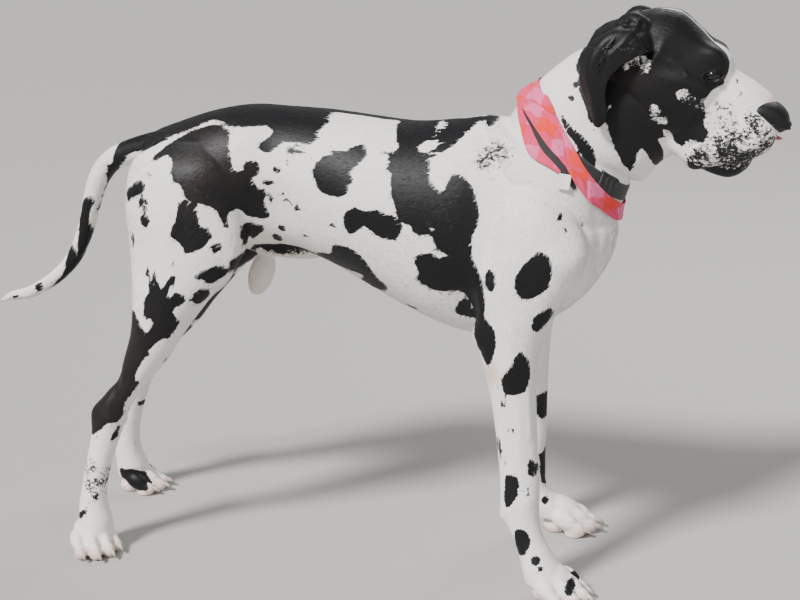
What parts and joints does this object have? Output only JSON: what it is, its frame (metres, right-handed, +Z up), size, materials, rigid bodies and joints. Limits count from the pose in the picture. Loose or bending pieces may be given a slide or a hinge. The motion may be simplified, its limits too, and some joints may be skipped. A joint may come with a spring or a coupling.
{
  "type": "dog model",
  "caption": "Life-size museum model of a standing male great dane in a harlequin coat, with collar, neckerchief and blank label; it stands on its paws.",
  "frame": {"origin": "on the floor, under the middle of the model's bounding box", "axes": "+X forward, from tail to nose; +Y to the dog's left; +Z up"},
  "size_m": [1.49, 0.4364, 1.0316],
  "materials": {
    "coat": "short smooth coat, white with torn black patches",
    "black_coat": "short smooth black coat",
    "claw_horn": "pale horn with a low sheen",
    "nose_leather": "moist grained leather",
    "tongue": "moist pink",
    "eye": "wet dark brown",
    "webbing": "woven nylon strap",
    "buckle_plastic": "moulded, satin",
    "label_cloth": "smooth white tape, left blank",
    "neckerchief_cloth": "woven cotton in coral and pink checks"
  },
  "bodies": {
    "root": {"buckle": "buckle_plastic", "claw_inner_forepaw_left": "claw_horn", "claw_inner_forepaw_right": "claw_horn", "claw_inner_hindpaw_left": "claw_horn", "claw_inner_hindpaw_right": "claw_horn", "claw_inner_mid_forepaw_left": "claw_horn", "claw_inner_mid_forepaw_right": "claw_horn", "claw_inner_mid_hindpaw_left": "claw_horn", "claw_inner_mid_hindpaw_right": "claw_horn", "claw_outer_forepaw_left": "claw_horn", "claw_outer_forepaw_right": "claw_horn", "claw_outer_hindpaw_left": "claw_horn", "claw_outer_hindpaw_right": "claw_horn", "claw_outer_mid_forepaw_left": "claw_horn", "claw_outer_mid_forepaw_right": "claw_horn", "claw_outer_mid_hindpaw_left": "claw_horn", "claw_outer_mid_hindpaw_right": "claw_horn", "collar": "webbing", "ear_left": "black_coat", "ear_right": "black_coat", "eye_left": "eye", "eye_right": "eye", "foreleg_left": "coat", "foreleg_right": "coat", "forepaw_left": "coat", "forepaw_right": "coat", "head": "coat", "hindleg_left": "coat", "hindleg_right": "coat", "hindpaw_left": "coat", "hindpaw_right": "coat", "label": "label_cloth", "neck": "coat", "neckerchief": "neckerchief_cloth", "neckerchief_end": "neckerchief_cloth", "nose": "nose_leather", "tail": "coat", "thigh_left": "coat", "thigh_right": "coat", "tongue": "tongue", "trunk": "coat"}
  },
  "joints": []
}
